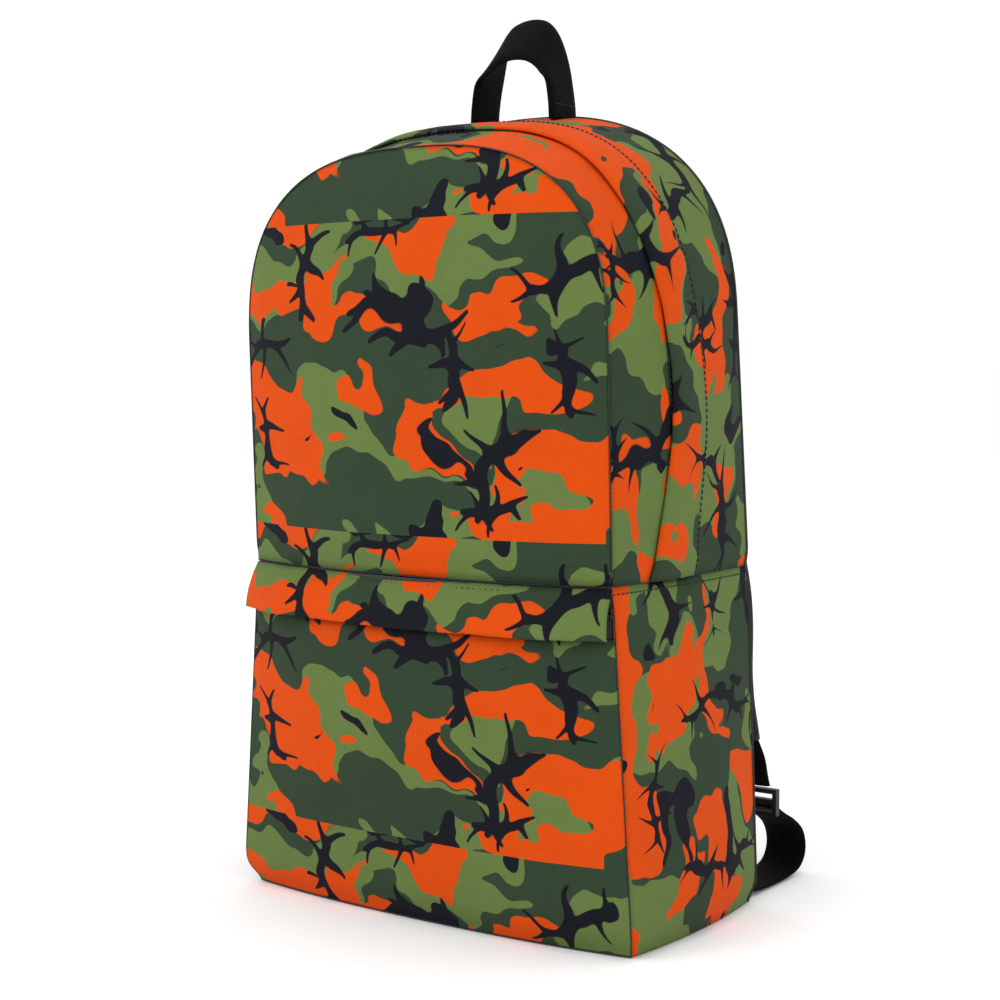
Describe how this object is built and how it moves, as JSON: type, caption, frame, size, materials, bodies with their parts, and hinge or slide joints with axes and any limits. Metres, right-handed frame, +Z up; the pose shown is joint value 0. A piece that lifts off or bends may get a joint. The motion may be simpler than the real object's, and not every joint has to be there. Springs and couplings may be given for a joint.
{
  "type": "hunting daypack",
  "caption": "Stuffed free-standing daypack with arched zip lid, flap-covered front pocket, padded shoulder straps with strap regulators and a webbing grab handle.",
  "frame": {"origin": "centre of the base on the floor", "axes": "+Z up, -Y towards the front pocket, +X to the right seen from the front camera side"},
  "size_m": [0.257, 0.2337, 0.48],
  "materials": {
    "camo_cloth": "matte",
    "lining": "satin",
    "binding_tape": "matte",
    "zip_coil": "satin",
    "zip_tape": "matte",
    "zip_metal": "satin",
    "webbing": "matte",
    "buckle_plastic": "matte",
    "strap_cloth": "matte",
    "air_mesh": "matte",
    "foam": "matte",
    "sleeve_cloth": "matte"
  },
  "bodies": {
    "pack": {"adjuster_webbing_left": "webbing", "adjuster_webbing_right": "webbing", "anchor_tab_left": "camo_cloth", "anchor_tab_right": "camo_cloth", "back_foam": "foam", "back_lining": "lining", "back_mesh": "air_mesh", "back_pocket_bag": "lining", "back_seam_binding": "binding_tape", "back_zip_chain": "zip_coil", "back_zip_tapes": "zip_tape", "bottom_panel": "camo_cloth", "handle_anchors": "webbing", "laptop_sleeve": "sleeve_cloth", "lower_lining": "lining", "pocket_back_wall": "camo_cloth", "pocket_panel": "camo_cloth", "pocket_zip_chain_lower": "zip_coil", "pocket_zip_chain_upper": "zip_coil", "pocket_zip_tape_lower": "zip_tape", "pocket_zip_tape_upper": "zip_tape", "rear_gusset": "camo_cloth", "rear_gusset_lining": "lining", "side_panel_left": "camo_cloth", "side_panel_right": "camo_cloth", "sleeve_binding": "binding_tape", "storm_flap": "camo_cloth", "strap_yoke": "strap_cloth", "zip_chain_rear": "zip_coil", "zip_tape_rear": "zip_tape"},
    "lid": {"lid_front_panel": "camo_cloth", "lid_gusset": "camo_cloth", "lid_lining": "lining", "lid_gusset_lining": "lining", "lid_seam_binding": "binding_tape", "zip_chain_front": "zip_coil", "zip_tape_front": "zip_tape"},
    "pocket_flap": {"pocket_flap": "camo_cloth"},
    "main_slider_upper": {"main_slider_upper": "zip_metal"},
    "main_slider_lower": {"main_slider_lower": "zip_metal"},
    "main_pull_upper": {"main_pull_upper": "zip_metal"},
    "main_pull_lower": {"main_pull_lower": "zip_metal"},
    "pocket_slider": {"pocket_slider": "zip_metal"},
    "pocket_pull": {"pocket_pull": "zip_metal"},
    "back_slider": {"back_slider": "zip_metal"},
    "back_pull": {"back_pull": "zip_metal"},
    "grab_handle": {"grab_handle": "webbing"},
    "shoulder_strap_right": {"shoulder_pad_right": "strap_cloth", "strap_webbing_right": "webbing"},
    "ladder_lock_right": {"ladder_lock_right": "buckle_plastic"},
    "shoulder_strap_left": {"shoulder_pad_left": "strap_cloth", "strap_webbing_left": "webbing"},
    "ladder_lock_left": {"ladder_lock_left": "buckle_plastic"}
  },
  "joints": [
    {"name": "lid_hinge", "type": "hinge", "parent": "pack", "child": "lid", "pos_m": [0, -0.08, 0.186], "axis": [1, 0, 0], "range_deg": [0, 80], "deforming": ["storm_flap"]},
    {"name": "pocket_flap_lift", "type": "hinge", "parent": "pack", "child": "pocket_flap", "pos_m": [0, -0.0845, 0.1835], "axis": [-1, 0, 0], "range_deg": [0, 50], "stiffness_Nm_per_rad": 0.004},
    {"name": "main_slider_upper_slide", "type": "slide", "parent": "pack", "child": "main_slider_upper", "axis": [0, -0.0747, 0.9972], "range_m": [0, 0.036]},
    {"name": "main_slider_lower_slide", "type": "slide", "parent": "pack", "child": "main_slider_lower", "axis": [0, -0.0747, 0.9972], "range_m": [-0.044, 0]},
    {"name": "main_pull_upper_swing", "type": "hinge", "parent": "main_slider_upper", "child": "main_pull_upper", "pos_m": [-0.11968, -0.01153, 0.262], "axis": [0, 0.9972, 0.0747], "range_deg": [0, 12]},
    {"name": "main_pull_lower_swing", "type": "hinge", "parent": "main_slider_lower", "child": "main_pull_lower", "pos_m": [-0.11968, -0.01037, 0.2465], "axis": [0, 0.9972, 0.0747], "range_deg": [0, 12]},
    {"name": "pocket_slider_run", "type": "hinge", "parent": "pack", "child": "pocket_slider", "pos_m": [0, 0.2624, 0.172], "axis": [0, 0, 1], "range_deg": [0, 32]},
    {"name": "pocket_pull_swing", "type": "hinge", "parent": "pocket_slider", "child": "pocket_pull", "pos_m": [-0.0965, -0.07414, 0.172], "axis": [-0.9613, 0.2756, 0], "range_deg": [0, 15]},
    {"name": "back_slider_slide", "type": "slide", "parent": "pack", "child": "back_slider", "axis": [1, 0, 0], "range_m": [0, 0.124]},
    {"name": "back_pull_swing", "type": "hinge", "parent": "back_slider", "child": "back_pull", "pos_m": [-0.062, 0.067, 0.122], "axis": [1, 0, 0], "range_deg": [0, 90]},
    {"name": "grab_handle_fold", "type": "hinge", "parent": "pack", "child": "grab_handle", "pos_m": [0, 0.0265, 0.4337], "axis": [1, 0, 0], "range_deg": [-60, 60], "stiffness_Nm_per_rad": 0.02},
    {"name": "shoulder_strap_right_swing", "type": "hinge", "parent": "pack", "child": "shoulder_strap_right", "pos_m": [0.04, 0.0429, 0.398], "axis": [1, 0, 0], "range_deg": [0, 20], "deforming": ["adjuster_webbing_right"]},
    {"name": "ladder_lock_right_tilt", "type": "hinge", "parent": "shoulder_strap_right", "child": "ladder_lock_right", "pos_m": [0.108, 0.0962, 0.0575], "axis": [1, 0, 0], "range_deg": [0, 25]},
    {"name": "shoulder_strap_left_swing", "type": "hinge", "parent": "pack", "child": "shoulder_strap_left", "pos_m": [-0.04, 0.0429, 0.398], "axis": [1, 0, 0], "range_deg": [0, 20], "deforming": ["adjuster_webbing_left"]},
    {"name": "ladder_lock_left_tilt", "type": "hinge", "parent": "shoulder_strap_left", "child": "ladder_lock_left", "pos_m": [-0.108, 0.0962, 0.0575], "axis": [1, 0, 0], "range_deg": [0, 25]}
  ]
}
